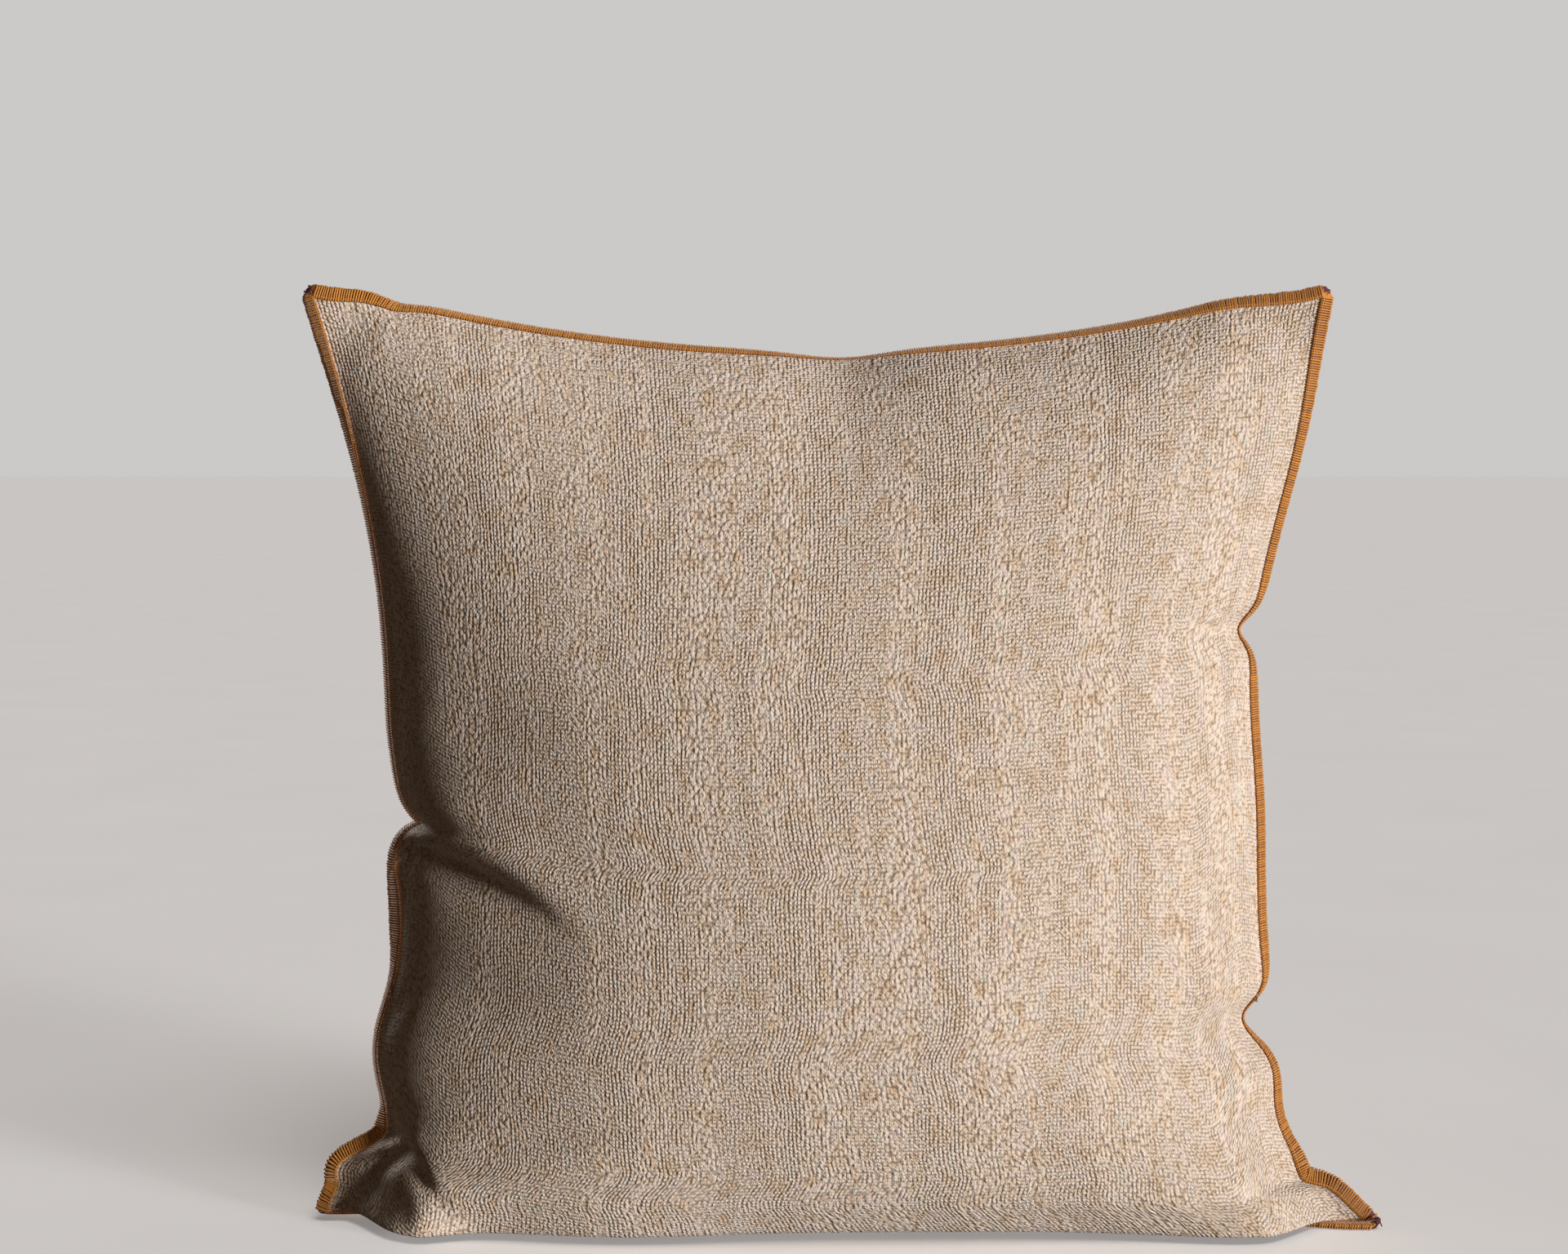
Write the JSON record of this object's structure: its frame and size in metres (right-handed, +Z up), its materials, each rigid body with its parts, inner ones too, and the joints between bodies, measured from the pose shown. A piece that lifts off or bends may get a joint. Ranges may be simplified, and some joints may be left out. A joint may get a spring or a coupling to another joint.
{
  "type": "throw pillow",
  "caption": "Square throw pillow standing on its lower edge, with overlocked seams, a slubby woven cover, a zip across the back and a fibre-filled insert.",
  "frame": {"origin": "middle of the flat patch of the base on which the pillow stands", "axes": "+X to the right seen from the front, +Y towards the back, +Z up"},
  "size_m": [0.516, 0.1468, 0.4616],
  "materials": {
    "cover_cloth": "matte slubby plain weave in oatmeal, with chunky nubs in bands",
    "edge_thread": "soft spun ochre overlock thread",
    "tack_thread": "dark burgundy spun thread",
    "label_tape": "smooth white woven tape, blank",
    "zip_tape": "beige woven tape with a herringbone rib",
    "zip_teeth": "beige moulded nylon",
    "zip_metal": "antique brass plating, lightly worn",
    "insert_lawn": "white cotton lawn",
    "fibre_fill": "white polyester fibre"
  },
  "bodies": {
    "cover": {"front_panel": "cover_cloth", "back_panel_upper": "cover_cloth", "back_panel_lower": "cover_cloth", "overlock_edge_top": "edge_thread", "overlock_edge_left": "edge_thread", "overlock_edge_right": "edge_thread", "overlock_edge_bottom": "edge_thread", "corner_tack_top_left": "tack_thread", "corner_tack_top_right": "tack_thread", "corner_tack_bottom_left": "tack_thread", "corner_tack_bottom_right": "tack_thread", "care_label": "label_tape", "zip_tape_upper": "zip_tape", "zip_tape_lower": "zip_tape", "zip_teeth_upper": "zip_teeth", "zip_teeth_lower": "zip_teeth", "zip_closed_stop_upper": "zip_metal", "zip_closed_stop_lower": "zip_metal", "zip_open_stop": "zip_metal", "insert_casing_front": "insert_lawn", "insert_casing_back": "insert_lawn", "insert_filling": "fibre_fill"},
    "zip_slider_body": {"zip_slider": "zip_metal"},
    "zip_pull_tab": {"zip_pull": "zip_metal"}
  },
  "joints": [
    {"name": "zip_travel", "type": "hinge", "parent": "cover", "child": "zip_slider_body", "pos_m": [0, -0.43296, 0.13913], "axis": [0, 0.0635, 0.998], "range_deg": [0, 34.4], "deforming": ["zip_teeth_upper", "zip_teeth_lower"]},
    {"name": "pull_swing", "type": "hinge", "parent": "zip_slider_body", "child": "zip_pull_tab", "pos_m": [0.14537, 0.0357, 0.1093], "axis": [0, -0.0635, -0.998], "range_deg": [0, 165]}
  ]
}
